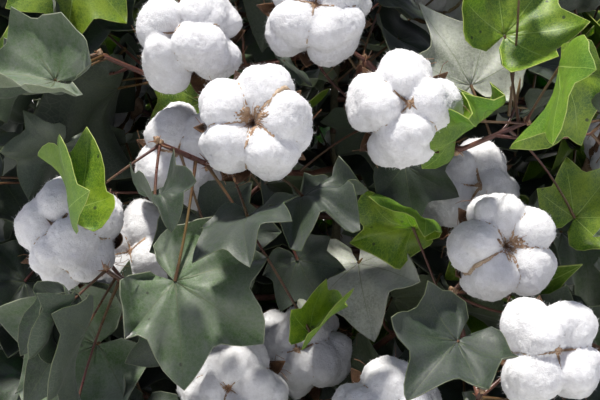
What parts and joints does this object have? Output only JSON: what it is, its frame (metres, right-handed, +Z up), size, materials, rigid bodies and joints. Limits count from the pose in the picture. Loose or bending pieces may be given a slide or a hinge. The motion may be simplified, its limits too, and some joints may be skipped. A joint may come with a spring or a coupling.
{
  "type": "cotton plant",
  "caption": "Whole rooted cotton plant with open bolls: a slender main stem, drooping fruiting branches, lobed leaves on long stalks and plump white bolls.",
  "frame": {"origin": "centre of the flat cut under the main stem, at ground level", "axes": "+Z up along the main stem; -Y is the side that the picture shows"},
  "size_m": [0.7297, 0.7287, 1.0304],
  "materials": {
    "stem": "matt dark olive bark",
    "branch": "satin reddish brown bark",
    "leaf": "matt grey-green leaf",
    "lint": "fluffy white fibre"
  },
  "bodies": {
    "root": {"main_stem": "stem", "branch_01": "branch", "branch_02": "branch", "branch_03": "branch", "branch_04": "branch", "branch_05": "branch", "branch_06": "branch", "branch_07": "branch", "branch_08": "branch", "branch_09": "branch", "branch_10": "branch", "branch_11": "branch", "branch_12": "branch", "branch_13": "branch", "branch_14": "branch", "branch_15": "branch", "branch_16": "branch", "boll_01": "lint", "boll_02": "lint", "boll_03": "lint", "boll_04": "lint", "boll_05": "lint", "boll_06": "lint", "boll_07": "lint", "boll_08": "lint", "boll_09": "lint", "boll_10": "lint", "boll_11": "lint", "boll_12": "lint", "boll_13": "lint", "boll_14": "lint", "boll_15": "lint", "boll_16": "lint", "boll_17": "lint", "boll_18": "lint", "boll_19": "lint", "boll_20": "lint", "boll_21": "lint", "boll_22": "lint", "boll_23": "lint", "boll_24": "lint", "boll_25": "lint", "boll_26": "lint", "leaves_01": "leaf", "leaves_02": "leaf", "leaves_03": "leaf", "leaves_04": "leaf", "leaves_05": "leaf", "leaves_06": "leaf", "leaves_07": "leaf", "leaves_08": "leaf", "leaves_09": "leaf", "leaves_10": "leaf", "leaves_11": "leaf", "leaves_12": "leaf", "leaves_13": "leaf", "leaves_14": "leaf", "leaves_15": "leaf", "leaves_16": "leaf", "leaves_top": "leaf"}
  },
  "joints": []
}
